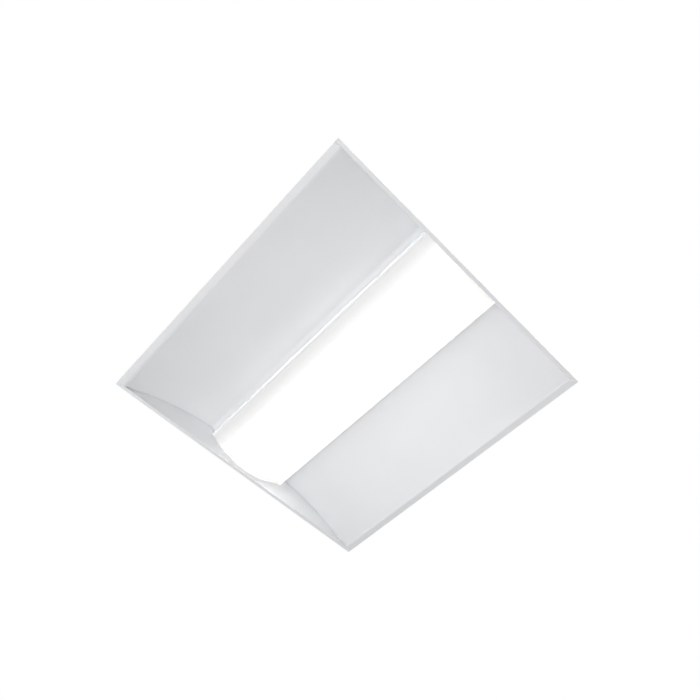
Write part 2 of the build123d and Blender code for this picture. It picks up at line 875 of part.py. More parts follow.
rails = {}
for side, name in ((-1, "latch"), (1, "hinge")):
    with BuildPart() as rail:
        with Locations(*facing([(side * rail_x, 0, rail_z)], (0, 1, 0))):
            Cylinder(rail_radius, face_length)
        slot_plane = Plane(origin=(side * rail_x, 0, rail_z)).rotated((0, -side * lens_edge_angle, 0))
        with Locations(slot_plane):
            with Locations((-side * (rail_radius - rail_slot_gap), 0, 0)):
                Box(
                    2 * rail_radius,
                    2 * (lens_end - rail_solid_end),
                    lens_thickness + 2 * rail_slot_gap,
                    mode=Mode.SUBTRACT,
                )
        trim_ends(lens_end_gap)
        if side > 0:
            seats = [(rail_x, end * lens_end, rail_z) for end in (-1, 1)]
            holes(facing(seats, (0, 1, 0)), hinge_pin_radius + pin_seat_gap, hinge_pin_seat)
        else:
            with Locations(*[(strike_x, end * catch_y, rail_z + rail_radius) for end in (-1, 1)]):
                Box(
                    strike_thickness + 2 * strike_seat_gap,
                    strike_width + 2 * strike_seat_gap,
                    2 * strike_seat,
                    mode=Mode.SUBTRACT,
                    align=(Align.MIN, Align.CENTER, Align.CENTER),
                )
    rail.part.label = f"lens_{name}_rail"
    rails[name] = rail.part

pin_length = hinge_pin_seat + lens_end_gap + end_sheet + hinge_pin_overrun
with BuildPart() as lens_hinge_pins:
    for end in (-1, 1):
        pin_middle = end * (lens_end - hinge_pin_seat + pin_length / 2)
        with Locations(*facing([(rail_x, pin_middle, rail_z)], (0, 1, 0))):
            Cylinder(hinge_pin_radius, pin_length)
lens_hinge_pins.part.label = "lens_hinge_pins"

with BuildPart() as lens_strikes:
    strike_foot = rail_z + rail_radius - strike_seat
    with Locations(*[(strike_x + strike_seat_gap, end * catch_y, strike_foot) for end in (-1, 1)]):
        Box(
            strike_thickness,
            strike_width,
            strike_height + strike_seat,
            align=(Align.MIN, Align.CENTER, Align.MIN),
        )
    fillet(
        lens_strikes.edges().filter_by(Axis.X).group_by(Axis.Z)[-1],
        strike_corner,
    )
lens_strikes.part.label = "lens_strikes"

# ---- Catch clips: a folded spring on the tray's left leg for each strike ----
leaf_x = strike_x + strike_seat_gap + strike_thickness + clip_grip_gap + clip_sheet
with BuildPart() as catch_clips:
    for end in (-1, 1):
        with BuildSketch(Plane.XZ.offset(-end * catch_y)):
            with BuildLine():
                FilletPolyline(
                    (-tray_inner_x, clip_leaf_z),
                    (-tray_inner_x, clip_top_z),
                    (leaf_x, clip_top_z),
                    (leaf_x, clip_mouth_z),
                    (leaf_x + clip_flare_out, clip_mouth_z - clip_flare_drop),
                    radius=clip_bend,
                )
                offset(amount=clip_sheet, side=Side.RIGHT)
            make_face()
        extrude(amount=clip_width / 2, both=True)
    fastener_holes(facing(clip_rivet_points, (1, 0, 0)), clip_rivet_hole, clip_sheet)
catch_clips.part.label = "catch_clips"

with BuildPart() as catch_clip_rivets:
    rivets(
        facing(clip_rivet_points, (1, 0, 0)),
        clip_rivet_radius,
        clip_rivet_head_radius,
        clip_rivet_head,
        clip_sheet + tray_sheet,
        clip_rivet_head_radius,
        clip_rivet_head,
    )
catch_clip_rivets.part.label = "catch_clip_rivets"

# ---- Fasteners of the shell ----
with BuildPart() as wing_rivets:
    for side in (-1, 1):
        rivets(
            facing([point for point in wing_rivet_points if point[0] * side > 0], (side, 0, 0)),
            wing_rivet_radius,
            wing_rivet_head_radius,
            wing_rivet_head,
            housing_sheet + wing_side_gap + wing_sheet,
            wing_rivet_tail_radius,
            wing_rivet_tail,
        )
wing_rivets.part.label = "wing_rivets"

with BuildPart() as end_plate_screws:
    screws(facing(end_screw_points, up), end_sheet + housing_sheet + screw_overrun)
end_plate_screws.part.label = "end_plate_screws"

with BuildPart() as tray_screws:
    screws(tray_screw_planes, end_sheet + tray_end_gap + tray_sheet + screw_overrun)
tray_screws.part.label = "tray_screws"

# ---- Grid arms, stowed inside the end plates' windows, and their pivot rivets ----
with BuildPart() as grid_arm:
    with BuildSketch(Plane.XY.offset(arm_bottom)):
        with Locations((arm_pivot_x, arm_y)):
            Rectangle(arm_length, arm_width, align=(Align.MAX, Align.CENTER))
            Circle(arm_width / 2)
            Circle(arm_rivet_radius + arm_rivet_gap, mode=Mode.SUBTRACT)
    extrude(amount=arm_thickness)
    with Locations((arm_pivot_x - arm_length, arm_y, arm_bottom)):
        Box(
            arm_thickness,
            arm_width,
            arm_thickness + arm_nib,
            align=(Align.MIN, Align.CENTER, Align.MIN),
        )
grid_arm.part.label = "grid_arm_rear_right"

grid_arms = {"rear_right": grid_arm.part}
for name, source, about in (
    ("rear_left", "rear_right", Plane.YZ),
    ("front_right", "rear_right", Plane.XZ),
    ("front_left", "rear_left", Plane.XZ),
):
    with BuildPart() as mirrored_arm:
        mirror(grid_arms[source], about=about)
    mirrored_arm.part.label = f"grid_arm_{name}"
    grid_arms[name] = mirrored_arm.part

with BuildPart() as grid_arm_rivets:
    arm_grip = end_sheet + 2 * arm_rest_gap + arm_thickness
    rivets(
        [Plane(origin=(x, y, arm_z - end_sheet + arm_grip), z_dir=up) for x, y in arm_pivots],
        arm_rivet_radius,
        arm_rivet_head_radius,
        arm_rivet_head,
        arm_grip,
        arm_rivet_head_radius,
        arm_rivet_head,
    )
grid_arm_rivets.part.label = "grid_arm_rivets"

# ---- Write one file for each piece ----
pieces = [
    housing.part,
    end_plate_rear.part,
    end_plate_front.part,
    wing_right.part,
    wing_left.part,
    led_tray.part,
    *lamp_boards.values(),
    led_emitters.part,
    board_connectors.part,
    board_rivets.part,
    driver.part,
    driver_screws.part,
    terminal_block.part,
    terminal_block_screws.part,
    ground_screw.part,
    supply_leads.part,
    lamp_leads.part,
    lead_grommets.part,
    access_plate.part,
    access_plate_screws.part,
    lens.part,
    *rails.values(),
    lens_hinge_pins.part,
    lens_strikes.part,
    catch_clips.part,
    catch_clip_rivets.part,
    wing_rivets.part,
    end_plate_screws.part,
    tray_screws.part,
    *grid_arms.values(),
    grid_arm_rivets.part,
]
os.makedirs("parts", exist_ok=True)
for piece in pieces:
    export_step(piece, f"parts/{piece.label}.step")
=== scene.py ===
"""Recessed troffer light: finishes, bent sheet-metal shells, the lit lens, light and camera."""

import json
import logging
import math
from collections.abc import Sequence
from dataclasses import dataclass
from enum import Enum

import bpy
from mathutils import Matrix, Vector


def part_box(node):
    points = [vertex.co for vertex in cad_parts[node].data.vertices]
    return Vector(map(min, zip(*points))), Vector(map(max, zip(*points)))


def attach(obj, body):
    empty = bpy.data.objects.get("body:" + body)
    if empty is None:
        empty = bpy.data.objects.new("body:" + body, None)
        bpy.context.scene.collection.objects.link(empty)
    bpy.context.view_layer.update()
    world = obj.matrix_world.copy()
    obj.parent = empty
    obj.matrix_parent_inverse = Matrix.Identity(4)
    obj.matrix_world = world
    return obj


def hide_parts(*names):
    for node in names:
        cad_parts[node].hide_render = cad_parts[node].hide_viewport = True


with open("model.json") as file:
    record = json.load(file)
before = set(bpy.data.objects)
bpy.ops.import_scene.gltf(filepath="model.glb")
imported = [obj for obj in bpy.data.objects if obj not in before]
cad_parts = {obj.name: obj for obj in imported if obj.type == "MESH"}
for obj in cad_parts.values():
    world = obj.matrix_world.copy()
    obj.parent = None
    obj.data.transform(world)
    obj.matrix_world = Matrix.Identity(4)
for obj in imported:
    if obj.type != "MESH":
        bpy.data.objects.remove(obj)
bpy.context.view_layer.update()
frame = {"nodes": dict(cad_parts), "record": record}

LOG = logging.getLogger("troffer")
ROOT_BODY = "root"
DOOR_BODY = "lens_door"
MM = 0.001

PATTERN_LOW = 0.3
PATTERN_HIGH = 0.7
RIM_FACETS = 2
RIM_ANGLE = math.radians(60)
SMOOTH_ANGLE = math.radians(35)
SAME_POINT = 1e-6

Triple = tuple[float, float, float]
Colour = Triple
Stops = Sequence[tuple[float, Colour]]
WHITE_LIGHT: Colour = (1.0, 1.0, 1.0)


class Side(Enum):
    """The two sides of the lens, as signs along X."""

    LEFT = -1
    RIGHT = 1


class End(Enum):
    """The two ends of the body, as signs along Y."""

    FRONT = -1
    REAR = 1


# ---------------------------------------------------------------- materials


def shade(colour: Colour, factor: float) -> Colour:
    """A colour made lighter or darker.

    Args:
        colour: Linear colour.
        factor: What each channel is multiplied by.

    Returns:
        The new colour, each channel at most 1.
    """
    return tuple(min(1.0, channel * factor) for channel in colour)


class NodeBook:
    """A material's node tree, with short calls for the nodes that finishes share."""

    def __init__(self, name: str) -> None:
        """Starts an empty material with an output and a Principled shader.

        Args:
            name: The material's name.
        """
        self.material = bpy.data.materials.new(name)
        self.material.use_nodes = True
        self.tree = self.material.node_tree
        self.tree.nodes.clear()
        output = self.tree.nodes.new("ShaderNodeOutputMaterial")
        self.shader = self.tree.nodes.new("ShaderNodeBsdfPrincipled")
        self.tree.links.new(self.shader.outputs["BSDF"], output.inputs["Surface"])
        self.place = self.tree.nodes.new("ShaderNodeTexCoord").outputs["Object"]

    def link(self, source: bpy.types.NodeSocket, target: bpy.types.NodeSocket) -> None:
        """Joins two sockets.

        Args:
            source: The output socket.
            target: The input socket.
        """
        self.tree.links.new(source, target)

    def noise(
        self, scale: float, detail: float, stretch: Triple = (1.0, 1.0, 1.0)
    ) -> bpy.types.NodeSocket:
        """A noise pattern fixed to the piece.

        Args:
            scale: Waves per metre.
            detail: Octaves of detail.
            stretch: Scale along each axis before the noise.

        Returns:
            The pattern's 0 to 1 value.
        """
        mapping = self.tree.nodes.new("ShaderNodeMapping")
        mapping.inputs["Scale"].default_value = stretch
        self.link(self.place, mapping.inputs["Vector"])
        noise = self.tree.nodes.new("ShaderNodeTexNoise")
        noise.inputs["Scale"].default_value = scale
        noise.inputs["Detail"].default_value = detail
        self.link(mapping.outputs["Vector"], noise.inputs["Vector"])
        return noise.outputs["Fac"]

    def cells(self, scale: float) -> bpy.types.NodeSocket:
        """A cell pattern like zinc spangle.

        Args:
            scale: Cells per metre.

        Returns:
            Each cell's own 0 to 1 value.
        """
        voronoi = self.tree.nodes.new("ShaderNodeTexVoronoi")
        voronoi.inputs["Scale"].default_value = scale
        self.link(self.place, voronoi.inputs["Vector"])
        split = self.tree.nodes.new("ShaderNodeSeparateColor")
        self.link(voronoi.outputs["Color"], split.inputs["Color"])
        return split.outputs["Red"]

    def along(self, axis: str) -> bpy.types.NodeSocket:
        """The surface's place along one axis of the piece, in metres.

        Args:
            axis: X, Y or Z.

        Returns:
            The coordinate.
        """
        split = self.tree.nodes.new("ShaderNodeSeparateXYZ")
        self.link(self.place, split.inputs["Vector"])
        return split.outputs[axis]

    def unit(self, value: bpy.types.NodeSocket, start: float, end: float) -> bpy.types.NodeSocket:
        """Maps a range of a value to 0 to 1.

        Args:
            value: The value.
            start: Where the result is 0.
            end: Where the result is 1.

        Returns:
            The mapped value.
        """
        scale = self.tree.nodes.new("ShaderNodeMapRange")
        scale.inputs["From Min"].default_value = start
        scale.inputs["From Max"].default_value = end
        self.link(value, scale.inputs["Value"])
        return scale.outputs["Result"]

    def spread(self, value: bpy.types.NodeSocket, low: float, high: float) -> bpy.types.NodeSocket:
        """Maps a 0 to 1 pattern to a range.

        Args:
            value: The pattern.
            low: Result at 0.
            high: Result at 1.

        Returns:
            The mapped value.
        """
        scale = self.tree.nodes.new("ShaderNodeMapRange")
        scale.inputs["To Min"].default_value = low
        scale.inputs["To Max"].default_value = high
        self.link(value, scale.inputs["Value"])
        return scale.outputs["Result"]

    def tint(self, value: bpy.types.NodeSocket, stops: Stops) -> bpy.types.NodeSocket:
        """Colours a 0 to 1 pattern.

        Args:
            value: The pattern.
            stops: Place and linear colour of each stop, in order.

        Returns:
            The colour.
        """
        ramp = self.tree.nodes.new("ShaderNodeValToRGB")
        points = ramp.color_ramp.elements
        while len(points) < len(stops):
            points.new(1.0)
        for point, (where, colour) in zip(points, stops):
            point.position = where
            point.color = (*colour, 1.0)
        self.link(value, ramp.inputs["Fac"])
        return ramp.outputs["Color"]

    def paint(self, pattern: bpy.types.NodeSocket, stops: Stops) -> None:
        """Colours the surface by a pattern.

        Args:
            pattern: The pattern.
            stops: Place and linear colour of each stop, in order.
        """
        self.link(self.tint(pattern, stops), self.shader.inputs["Base Color"])

    def mottle(
        self, pattern: bpy.types.NodeSocket, colour: Colour, low: float, high: float
    ) -> None:
        """Colours the surface with two shades of one colour.

        Args:
            pattern: Where each shade lies.
            colour: The colour.
            low: Factor of the darker shade.
            high: Factor of the lighter shade.
        """
        stops = ((PATTERN_LOW, shade(colour, low)), (PATTERN_HIGH, shade(colour, high)))
        self.paint(pattern, stops)

    def gloss(self, pattern: bpy.types.NodeSocket, low: float, high: float) -> None:
        """Varies the surface's roughness by a pattern.

        Args:
            pattern: The pattern.
            low: Roughness at 0.
            high: Roughness at 1.
        """
        self.link(self.spread(pattern, low, high), self.shader.inputs["Roughness"])

    def bump(self, height: bpy.types.NodeSocket, strength: float, depth: float) -> None:
        """Presses a height pattern into the surface.

        Args:
            height: The pattern.
            strength: The bump's strength.
            depth: Real depth in metres.
        """
        node = self.tree.nodes.new("ShaderNodeBump")
        node.inputs["Strength"].default_value = strength
        node.inputs["Distance"].default_value = depth
        self.link(height, node.inputs["Height"])
        self.link(node.outputs["Normal"], self.shader.inputs["Normal"])


@dataclass(frozen=True)
class Enamel:
    """Satin powder coat: even colour, fine orange peel, a soft broken gloss."""

    name: str
    colour: Colour
    roughness: float = 0.42
    drift_scale: float = 9.0
    drift_detail: float = 3.0
    darker: float = 0.985
    lighter: float = 1.01
    peel_scale: float = 620.0
    peel_detail: float = 4.0
    smoother: float = 0.06
    rougher: float = 0.08
    peel_strength: float = 0.25
    peel_depth: float = 0.04 * MM

    def material(self) -> bpy.types.Material:
        """Builds the finish's material.

        Returns:
            The material.
        """
        book = NodeBook(self.name)
        drift = book.noise(self.drift_scale, self.drift_detail)
        book.mottle(drift, self.colour, self.darker, self.lighter)
        peel = book.noise(self.peel_scale, self.peel_detail)
        book.gloss(peel, self.roughness - self.smoother, self.roughness + self.rougher)
        book.bump(peel, self.peel_strength, self.peel_depth)
        return book.material


@dataclass(frozen=True)
class Zinc:
    """Galvanised or zinc-plated steel with spangle and rolling marks."""

    name: str
    colour: Colour
    roughness: float = 0.38
    spangle: float = 160.0
    contrast: float = 0.16
    metallic: float = 0.9
    streak_scale: float = 300.0
    streak_detail: float = 3.0
    streak_stretch: Triple = (1.0, 0.08, 1.0)
    smoother: float = 0.1
    rougher: float = 0.14
    streak_strength: float = 0.15
    streak_depth: float = 0.03 * MM

    def material(self) -> bpy.types.Material:
        """Builds the finish's material.

        Returns:
            The material.
        """
        book = NodeBook(self.name)
        stops = (
            (0.0, shade(self.colour, 1 - self.contrast)),
            (0.5, self.colour),
            (1.0, shade(self.colour, 1 + self.contrast)),
        )
        book.paint(book.cells(self.spangle), stops)
        book.shader.inputs["Metallic"].default_value = self.metallic
        streak = book.noise(self.streak_scale, self.streak_detail, self.streak_stretch)
        book.gloss(streak, self.roughness - self.smoother, self.roughness + self.rougher)
        book.bump(streak, self.streak_strength, self.streak_depth)
        return book.material


@dataclass(frozen=True)
class Moulded:
    """Moulded plastic or rubber with a fine texture."""

    name: str
    colour: Colour
    roughness: float = 0.45
    tone_scale: float = 60.0
    tone_detail: float = 3.0
    darker: float = 0.94
    lighter: float = 1.05
    grain: float = 900.0
    grain_detail: float = 3.0
    smoother: float = 0.08
    rougher: float = 0.1
    grain_strength: float = 0.2
    grain_depth: float = 0.03 * MM

    def material(self) -> bpy.types.Material:
        """Builds the finish's material.

        Returns:
            The material.
        """
        book = NodeBook(self.name)
        tone = book.noise(self.tone_scale, self.tone_detail)
        book.mottle(tone, self.colour, self.darker, self.lighter)
        texture = book.noise(self.grain, self.grain_detail)
        book.gloss(texture, self.roughness - self.smoother, self.roughness + self.rougher)
        book.bump(texture, self.grain_strength, self.grain_depth)
        return book.material


@dataclass(frozen=True)
class LeadColours:
    """Insulation of several leads in one piece, coloured by their place across X."""

    name: str
    stops: Stops
    low_x: float
    high_x: float
    sheen_scale: float = 500.0
    sheen_detail: float = 2.0
    smoothest: float = 0.28
    roughest: float = 0.42

    def material(self) -> bpy.types.Material:
        """Builds the finish's material.

        Returns:
            The material.
        """
        book = NodeBook(self.name)
        book.paint(book.unit(book.along("X"), self.low_x, self.high_x), self.stops)
        sheen = book.noise(self.sheen_scale, self.sheen_detail)
        book.gloss(sheen, self.smoothest, self.roughest)
        return book.material


@dataclass(frozen=True)
class GlowWithPaintedLight:
    """Frosted plastic whose glow is set across the piece and near its ends: on the lens, real
    backlight with painted shade on its flanks and ends; on the rails, painted light, as they are
    no lamp.
    """

    name: str
    colour: Colour
    half_width: float
    half_length: float
    strength: float
    glow: Stops
    end_glow_painted_shade: Stops = ((0.0, WHITE_LIGHT), (1.0, WHITE_LIGHT))
    frost_scale: float = 1500.0
    frost_detail: float = 3.0
    darker: float = 0.985
    smoothest: float = 0.5
    roughest: float = 0.62
    frost_strength: float = 0.12
    frost_depth: float = 0.02 * MM

    def material(self) -> bpy.types.Material:
        """Builds the finish's material.

        Returns:
            The material.
        """
        book = NodeBook(self.name)
        across = book.unit(book.along("X"), -self.half_width, self.half_width)
        from_middle = book.tree.nodes.new("ShaderNodeMath")
        from_middle.operation = "ABSOLUTE"
        book.link(book.along("Y"), from_middle.inputs[0])
        inward = book.unit(from_middle.outputs["Value"], self.half_length, 0.0)
        # Painted light: the emission colour is painted by place, taking the dimmer of the across
        # and end profiles. On the lens this paints shade on the flanks and ends.
        dimmer = book.tree.nodes.new("ShaderNodeVectorMath")
        dimmer.operation = "MINIMUM"
        book.link(book.tint(across, self.glow), dimmer.inputs[0])
        book.link(book.tint(inward, self.end_glow_painted_shade), dimmer.inputs[1])
        book.link(dimmer.outputs["Vector"], book.shader.inputs["Emission Color"])
        book.shader.inputs["Emission Strength"].default_value = self.strength
        frost = book.noise(self.frost_scale, self.frost_detail)
        book.mottle(frost, self.colour, self.darker, 1.0)
        book.gloss(frost, self.smoothest, self.roughest)
        book.bump(frost, self.frost_strength, self.frost_depth)
        return book.material


@dataclass(frozen=True)
class Phosphor:
    """The yellow face of a lit emitter."""

    name: str
    colour: Colour
    glow: Colour
    strength: float
    speck_scale: float = 2500.0
    speck_detail: float = 3.0
    darker: float = 0.9
    smoothest: float = 0.3
    roughest: float = 0.45

    def material(self) -> bpy.types.Material:
        """Builds the finish's material.

        Returns:
            The material.
        """
        book = NodeBook(self.name)
        speck = book.noise(self.speck_scale, self.speck_detail)
        book.mottle(speck, self.colour, self.darker, 1.0)
        book.gloss(speck, self.smoothest, self.roughest)
        book.shader.inputs["Emission Color"].default_value = (*self.glow, 1.0)
        book.shader.inputs["Emission Strength"].default_value = self.strength
        return book.material


# ---------------------------------------------------------------- modelling


@dataclass(frozen=True)
class EndWalls:
    """Where the leaning end walls and their hemmed feet stand."""

    nose: float = 294.625 * MM
    foot: float = 298.025 * MM
    slope: float = 0.09981
    hem_rise: float = 2.1 * MM

    def plane(self, end: End, gap: float) -> tuple[Vector, Vector]:
        """A plane that keeps a gap from an end wall's inner face.

        Args:
            end: Which end.
            gap: Distance to the wall along Y.

        Returns:
            A point of the plane and its outward normal.
        """
        point = Vector((0, end.value * (self.foot - gap), 0))
        return point, Vector((0, end.value, self.slope)).normalized()


def block(middle: Vector, size: Vector) -> bpy.types.Object:
    """A plain block, to cut with or to shape further.

    Args:
        middle: Its middle.
        size: Its edge lengths.

    Returns:
        The block.
    """
    bpy.ops.object.select_all(action="DESELECT")
    bpy.ops.mesh.primitive_cube_add(size=1, location=middle)
    bpy.context.object.scale = size
    bpy.ops.object.transform_apply(location=True, rotation=True, scale=True)
    return bpy.context.object


def rod(middle: Vector, radius: float, length: float, sides: int) -> bpy.types.Object:
    """A round rod along Y to cut with.

    Args:
        middle: Its middle.
        radius: Its radius.
        length: Its length.
        sides: Facets round it.

    Returns:
        The rod.
    """
    bpy.ops.object.select_all(action="DESELECT")
    bpy.ops.mesh.primitive_cylinder_add(
        vertices=sides, radius=radius, depth=length, location=middle, rotation=(math.pi / 2, 0, 0)
    )
    bpy.ops.object.transform_apply(location=True, rotation=True, scale=True)
    return bpy.context.object


def cut_away(piece: bpy.types.Object, cutters: list[bpy.types.Object]) -> None:
    """Cuts shapes out of a piece and removes them.

    Args:
        piece: What is cut.
        cutters: Closed shapes to take away.
    """
    for cutter in cutters:
        cut = piece.modifiers.new("cut", "BOOLEAN")
        cut.operation = "DIFFERENCE"
        cut.solver = "EXACT"
        cut.object = cutter
        bpy.context.view_layer.objects.active = piece
        bpy.ops.object.modifier_apply(modifier=cut.name)
        bpy.data.objects.remove(cutter, do_unlink=True)


def soften(piece: bpy.types.Object, width: float) -> bpy.types.Object:
    """Rounds the sharp edges of a piece.

    Args:
        piece: The piece.
        width: Width of the rounding.

    Returns:
        The same piece.
    """
    bpy.context.view_layer.objects.active = piece
    edge = piece.modifiers.new("rim", "BEVEL")
    edge.width = width
    edge.segments = RIM_FACETS
    edge.limit_method = "ANGLE"
    edge.angle_limit = RIM_ANGLE
    bpy.ops.object.modifier_apply(modifier=edge.name)
    return piece


class SheetBender:
    """Forms a sheet from one long edge along Y, bent and extruded in edit mode."""

    def __init__(self, name: str, x: float, z: float, half_length: float) -> None:
        """Makes the starting edge and leaves it selected in edit mode.

        Args:
            name: The new piece's name.
            x: The edge's place across.
            z: The edge's height.
            half_length: Half of the edge's length along Y.
        """
        bpy.ops.object.select_all(action="DESELECT")
        bpy.ops.mesh.primitive_plane_add(size=2 * half_length, location=(x + half_length, 0, z))
        self.piece = bpy.context.object
        self.piece.name = name
        self.piece.data.name = name
        bpy.ops.object.transform_apply(location=True, rotation=True, scale=True)
        bpy.ops.object.mode_set(mode="EDIT")
        bpy.ops.mesh.select_mode(type="VERT")
        bpy.ops.mesh.select_all(action="DESELECT")
        bpy.ops.object.mode_set(mode="OBJECT")
        for vertex in self.piece.data.vertices:
            vertex.select = vertex.co.x > x + half_length
        bpy.ops.object.mode_set(mode="EDIT")
        bpy.ops.mesh.delete(type="VERT")
        bpy.ops.mesh.select_all(action="SELECT")

    def run(self, across: float, rise: float) -> "SheetBender":
        """Extrudes the selected edge straight.

        Args:
            across: Travel along X.
            rise: Travel along Z.

        Returns:
            This bender, with the new edge selected.
        """
        bpy.ops.mesh.extrude_region_move(TRANSFORM_OT_translate={"value": (across, 0, rise)})
        return self

    def bend(self, x: float, z: float, angle: float, steps: int) -> "SheetBender":
        """Sweeps the selected edge round a line along Y.

        Args:
            x: The centre's place across.
            z: The centre's height.
            angle: Turn in radians, positive from +Z towards +X.
            steps: Facets in the bend.

        Returns:
            This bender, with the last edge selected.
        """
        bpy.ops.mesh.spin(steps=steps, angle=-angle, center=(x, 0, z), axis=(0, 1, 0))
        return self

    def trim(self, walls: EndWalls, gap: float) -> "SheetBender":
        """Cuts both ends back from the leaning end walls.

        Args:
            walls: Where the end walls stand.
            gap: Distance kept along Y.

        Returns:
            This bender.
        """
        for end in End:
            bpy.ops.mesh.select_all(action="SELECT")
            point, normal = walls.plane(end, gap)
            bpy.ops.mesh.bisect(plane_co=point, plane_no=normal, clear_outer=True)
        return self

    def finish(self, thickness: float, offset: float, rim: float) -> bpy.types.Object:
        """Gives the sheet its wall, a small rim bevel and smooth bends.

        Args:
            thickness: The sheet's thickness.
            offset: Side of the drawn face that the wall grows to, from -1 to 1.
            rim: Width of the bevel on the cut edges.

        Returns:
            The finished piece.
        """
        bpy.ops.mesh.select_all(action="SELECT")
        bpy.ops.mesh.remove_doubles(threshold=SAME_POINT)
        bpy.ops.mesh.normals_make_consistent(inside=False)
        bpy.ops.object.mode_set(mode="OBJECT")
        wall = self.piece.modifiers.new("wall", "SOLIDIFY")
        wall.thickness = thickness
        wall.offset = offset
        bpy.ops.object.modifier_apply(modifier=wall.name)
        soften(self.piece, rim)
        bpy.ops.object.shade_smooth_by_angle(angle=SMOOTH_ANGLE)
        return self.piece


def dress(piece: bpy.types.Object, material: bpy.types.Material) -> None:
    """Puts one material on every slot of a piece.

    Args:
        piece: The piece.
        material: Its finish.
    """
    if not piece.data.materials:
        piece.data.materials.append(material)
    for place in range(len(piece.data.materials)):
        piece.data.materials[place] = material


# ---------------------------------------------------------------- sub-assemblies


@dataclass
class Ironwork:
    """The CAD pieces whose shape stays, each dressed in its own finish."""

    nodes: dict[str, bpy.types.Object]
    subparts: list[dict]

    def make(self, finishes: dict[str, bpy.types.Material]) -> None:
        """Dresses every CAD node by its material slot.

        Args:
            finishes: Material of each slot.
        """
        for entry in self.subparts:
            dress(self.nodes[entry["node"]], finishes[entry["material_slot"]])
            LOG.info("%s: %s", entry["node"], entry["material_slot"])


@dataclass
class Wings:
    """The two curved reflector wings: riveted leg, edge strip, long arc and rolled lip."""

    walls: EndWalls = EndWalls()
    sheet: float = 0.8 * MM
    radius: float = 490.0 * MM
    roll_radius: float = 10.6 * MM
    lip_z: float = 45.7 * MM
    strip: float = 3.5 * MM
    strip_z: float = 1.4 * MM
    leg_top: float = 11.5 * MM
    leg_bend: float = 1.1 * MM
    end_gap: float = 0.25 * MM
    rim: float = 0.15 * MM
    arc_steps: int = 72
    roll_steps: int = 20
    leg_steps: int = 6

    def arc_centre(self, roll: Vector, border: Vector) -> Vector:
        """Centre of the long arc, tangent to the roll and through the border's edge.

        Args:
            roll: Centre of the rolled lip, as x and z.
            border: Inner edge of the flat border, as x and z.

        Returns:
            The centre, as x and z.
        """
        near = self.radius - self.roll_radius
        span = border - roll
        reach = (near**2 - self.radius**2 + span.length_squared) / (2 * span.length)
        drop = math.sqrt(near**2 - reach**2)
        along = span.normalized()
        return roll + along * reach + Vector((along.y, -along.x)) * drop

    def bend(self, side: Side) -> bpy.types.Object:
        """Bends one wing in the place of its CAD node and trims its ends.

        Args:
            side: Which wing.

        Returns:
            The wing.
        """
        node = f"wing_{side.name.lower()}"
        low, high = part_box(node)
        outer = max(abs(low.x), abs(high.x))
        inner = min(abs(low.x), abs(high.x)) + self.sheet
        roll = Vector((inner + self.roll_radius, self.lip_z))
        border = Vector((outer - self.strip, self.strip_z))
        centre = self.arc_centre(roll, border)
        start = math.atan2(border.y - centre.y, border.x - centre.x)
        crest = math.atan2(roll.y - centre.y, roll.x - centre.x)
        sign = side.value
        tilt = math.pi / 2 - start
        reach = self.leg_bend / math.tan((math.pi / 2 - tilt) / 2)
        foot_z = self.strip_z - self.strip * math.tan(tilt) + reach
        strip_left = self.strip / math.cos(tilt) - reach
        bender = SheetBender(f"{node}_shell", sign * outer, self.leg_top, high.y)
        bender.run(0, foot_z - self.leg_top)
        turn = math.pi / 2 + tilt
        bender.bend(sign * (outer - self.leg_bend), foot_z, sign * turn, self.leg_steps)
        bender.run(-sign * strip_left * math.cos(tilt), strip_left * math.sin(tilt))
        bender.bend(sign * centre.x, centre.y, -sign * (crest - start), self.arc_steps)
        bender.bend(sign * roll.x, roll.y, -sign * (math.pi - crest), self.roll_steps)
        return bender.trim(self.walls, self.end_gap).finish(self.sheet, -1.0, self.rim)

    def notch(self, piece: bpy.types.Object, side: Side) -> None:
        """Cuts a wing's outer corners back over the hems of the end walls.

        Args:
            piece: The wing.
            side: Which wing.
        """
        low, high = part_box(f"wing_{side.name.lower()}")
        outer = side.value * max(abs(low.x), abs(high.x))
        start = self.walls.nose - self.end_gap
        rise = self.walls.hem_rise + self.end_gap
        half = 2 * self.leg_top
        size = Vector((2 * half, half, 2 * rise))
        places = [Vector((outer, end.value * (start + half / 2), 0)) for end in End]
        cut_away(piece, [block(place, size) for place in places])

    def make(self, finish: bpy.types.Material) -> None:
        """Builds and dresses both wings.

        Args:
            finish: The wings' material.
        """
        for side in Side:
            piece = self.bend(side)
            self.notch(piece, side)
            dress(piece, finish)
            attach(piece, ROOT_BODY)
            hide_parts(f"wing_{side.name.lower()}")
            LOG.info("%s: %d faces", piece.name, len(piece.data.polygons))


